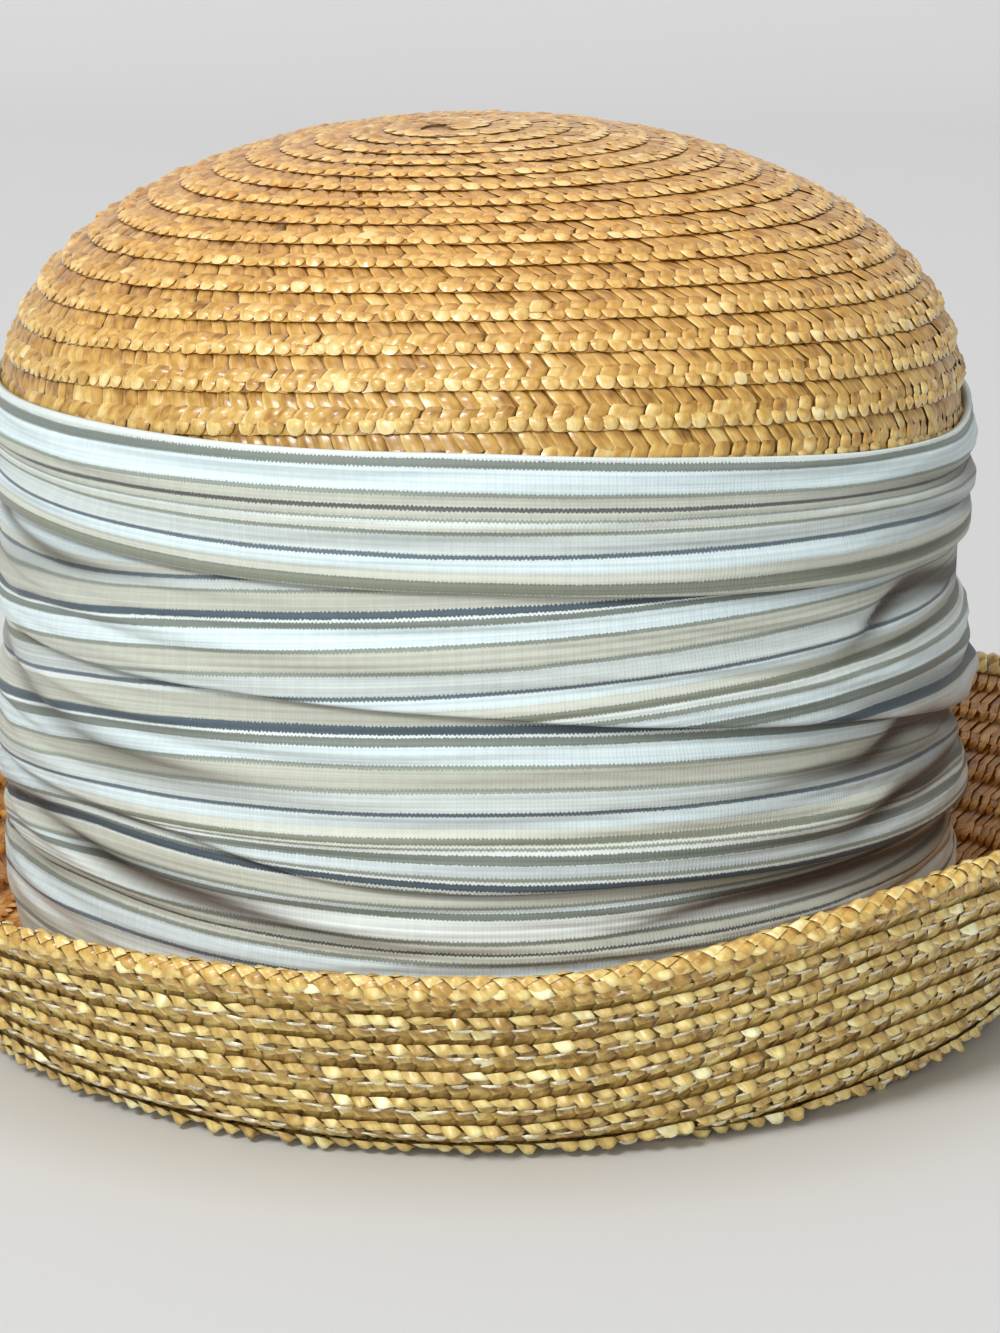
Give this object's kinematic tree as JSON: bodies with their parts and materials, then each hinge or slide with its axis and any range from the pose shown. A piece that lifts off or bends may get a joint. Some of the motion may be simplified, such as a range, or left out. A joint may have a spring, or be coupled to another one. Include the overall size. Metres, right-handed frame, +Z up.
{
  "type": "straw cloche hat",
  "caption": "Domed cloche of sewn straw braid with an upturned brim and a tall pleated wrap of striped knit round the crown.",
  "frame": {"origin": "centre of the hat's outline, on the surface that the ring under the brim rests on", "axes": "+Z up to the top of the crown, the front faces -Y, +X to the viewer's right"},
  "size_m": [0.2514, 0.2496, 0.1596],
  "materials": {
    "crown_straw": "golden straw braid sewn in overlapping rows, satin",
    "brim_straw": "pale gold straw braid sewn in overlapping rows, satin",
    "band_knit": "fine knit striped in pale blue, sage, beige and navy, soft sheen"
  },
  "bodies": {
    "root": {"crown_tip": "crown_straw", "crown_wall": "crown_straw", "brim_roll": "brim_straw", "brim_face": "brim_straw", "draped_band": "band_knit"}
  },
  "joints": []
}
